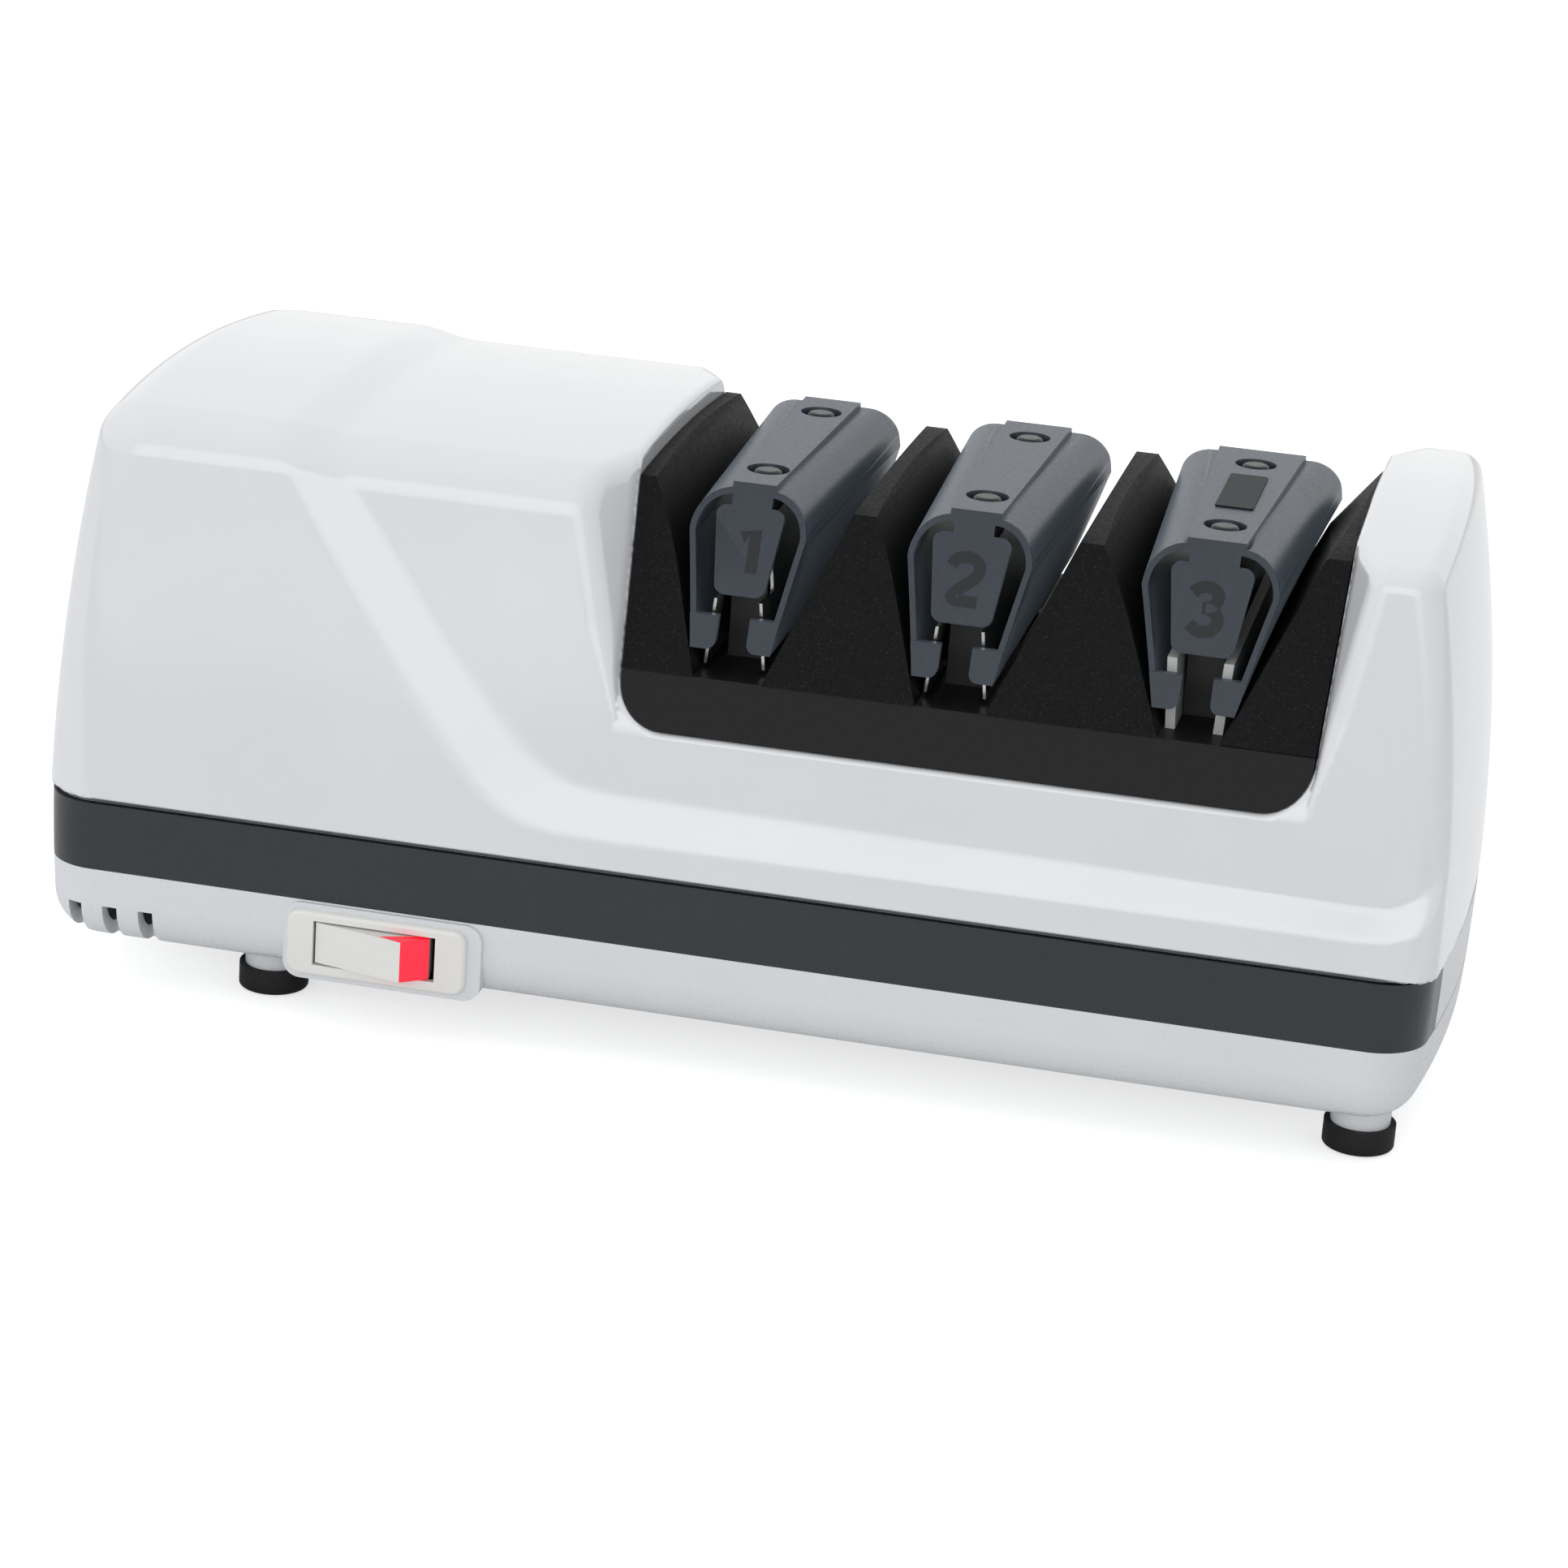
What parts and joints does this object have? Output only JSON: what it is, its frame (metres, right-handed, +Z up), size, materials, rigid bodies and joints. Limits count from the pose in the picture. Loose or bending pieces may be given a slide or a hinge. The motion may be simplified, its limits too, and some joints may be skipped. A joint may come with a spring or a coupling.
{
  "type": "electric knife sharpener",
  "caption": "Countertop electric knife sharpener with spring guides over motor-driven conical discs, rocker switch, stropping-disc dresser and filings cover.",
  "frame": {"origin": "middle of the footprint, on the plane the rubber feet stand on", "axes": "+X along the length to the right, +Y to the back, +Z up"},
  "size_m": [0.242, 0.1152, 0.1031],
  "materials": {
    "housing_white": "gloss",
    "base_white": "satin gloss",
    "band_grey": "satin",
    "switch_white": "satin",
    "flag_red": "satin",
    "switch_black": "matte",
    "terminal_brass": "bright",
    "insert_black": "fine spark-eroded texture",
    "guide_slate": "fine-grained satin",
    "bridge_black": "matte",
    "screw_dark": "black oxide",
    "label_dark": "satin film",
    "leaf_steel": "bright rolled",
    "guard_grey": "matte",
    "foot_rubber": "matte",
    "lamination_steel": "stacked and varnished",
    "bobbin_nylon": "natural",
    "winding_copper": "enamelled copper",
    "bracket_aluminium": "die cast",
    "zinc_steel": "zinc plated",
    "shaft_steel": "ground",
    "rotor_steel": "turned",
    "fan_nylon": "matte",
    "bearing_bronze": "sintered and oiled",
    "block_plastic": "matte",
    "disc_coarse": "coarse abrasive coating",
    "disc_fine": "fine abrasive coating",
    "disc_strop": "flexible abrasive compound",
    "spring_wire": "drawn wire",
    "lever_plastic": "satin",
    "dresser_grit": "bonded grit",
    "magnet_ferrite": "sintered",
    "inlet_rubber": "matte"
  },
  "bodies": {
    "housing": {"upper_housing": "housing_white", "lower_base": "base_white", "front_band": "band_grey", "switch_bezel": "switch_white", "switch_body": "switch_black", "switch_terminals": "terminal_brass", "insert_deck": "insert_black", "guide_wedge_left": "insert_black", "guide_wedge_centre_left": "insert_black", "guide_wedge_centre_right": "insert_black", "guide_wedge_right": "insert_black", "spring_guide_1": "guide_slate", "spring_guide_2": "guide_slate", "spring_guide_3": "guide_slate", "guide_bridge_1": "bridge_black", "guide_bridge_2": "bridge_black", "guide_bridge_3": "bridge_black", "guide_screws": "screw_dark", "guide_label": "label_dark", "guide_leaves": "leaf_steel", "strop_guards": "guard_grey", "rubber_feet": "foot_rubber", "stator_core": "lamination_steel", "coil_core": "lamination_steel", "coil_bobbin": "bobbin_nylon", "motor_winding": "winding_copper", "motor_bracket_left": "bracket_aluminium", "motor_bracket_right": "bracket_aluminium", "motor_bolts": "zinc_steel", "shaft_bearings": "bearing_bronze", "bearing_block": "block_plastic", "housing_screws": "zinc_steel", "cord_inlet": "inlet_rubber"},
    "shaft": {"drive_shaft": "shaft_steel", "rotor": "rotor_steel", "cooling_fan": "fan_nylon", "stop_collars": "shaft_steel", "coarse_spring_left": "spring_wire", "coarse_spring_right": "spring_wire", "fine_spring_left": "spring_wire", "fine_spring_right": "spring_wire", "strop_spring_left": "spring_wire", "strop_spring_right": "spring_wire"},
    "rocker": {"switch_rocker": "switch_white", "rocker_flag": "flag_red"},
    "lever": {"dressing_lever": "lever_plastic", "dressing_pads": "dresser_grit"},
    "cover": {"cleanout_cover": "base_white", "filings_magnet": "magnet_ferrite"},
    "coarse_disc_left": {"coarse_disc_left": "disc_coarse"},
    "coarse_disc_right": {"coarse_disc_right": "disc_coarse"},
    "fine_disc_left": {"fine_disc_left": "disc_fine"},
    "fine_disc_right": {"fine_disc_right": "disc_fine"},
    "strop_disc_left": {"strop_disc_left": "disc_strop"},
    "strop_disc_right": {"strop_disc_right": "disc_strop"}
  },
  "joints": [
    {"name": "shaft_spin", "type": "hinge", "parent": "housing", "child": "shaft", "pos_m": [0, 0, 0.046], "axis": [1, 0, 0], "continuous": true},
    {"name": "rocker_press", "type": "hinge", "parent": "housing", "child": "rocker", "pos_m": [-0.0573, -0.0504, 0.0156], "axis": [0, 0, 1], "range_deg": [0, 14]},
    {"name": "dressing_lever_slide", "type": "slide", "parent": "housing", "child": "lever", "axis": [1, 0, 0], "range_m": [-0.0008, 0.0008]},
    {"name": "cover_removal", "type": "slide", "parent": "housing", "child": "cover", "axis": [0, 0, -1], "range_m": [0, 0.006]},
    {"name": "coarse_disc_left_slide", "type": "slide", "parent": "shaft", "child": "coarse_disc_left", "axis": [1, 0, 0], "range_m": [0, 0.0008], "stiffness_N_per_m": 900, "springref_m": -0.0015, "deforming": ["coarse_spring_left"]},
    {"name": "coarse_disc_right_slide", "type": "slide", "parent": "shaft", "child": "coarse_disc_right", "axis": [-1, 0, 0], "range_m": [0, 0.0008], "stiffness_N_per_m": 900, "springref_m": -0.0015, "deforming": ["coarse_spring_right"]},
    {"name": "fine_disc_left_slide", "type": "slide", "parent": "shaft", "child": "fine_disc_left", "axis": [1, 0, 0], "range_m": [0, 0.0008], "stiffness_N_per_m": 900, "springref_m": -0.0015, "deforming": ["fine_spring_left"]},
    {"name": "fine_disc_right_slide", "type": "slide", "parent": "shaft", "child": "fine_disc_right", "axis": [-1, 0, 0], "range_m": [0, 0.0008], "stiffness_N_per_m": 900, "springref_m": -0.0015, "deforming": ["fine_spring_right"]},
    {"name": "strop_disc_left_slide", "type": "slide", "parent": "shaft", "child": "strop_disc_left", "axis": [1, 0, 0], "range_m": [0, 0.0008], "stiffness_N_per_m": 900, "springref_m": -0.0015, "deforming": ["strop_spring_left"]},
    {"name": "strop_disc_right_slide", "type": "slide", "parent": "shaft", "child": "strop_disc_right", "axis": [-1, 0, 0], "range_m": [0, 0.0008], "stiffness_N_per_m": 900, "springref_m": -0.0015, "deforming": ["strop_spring_right"]}
  ]
}
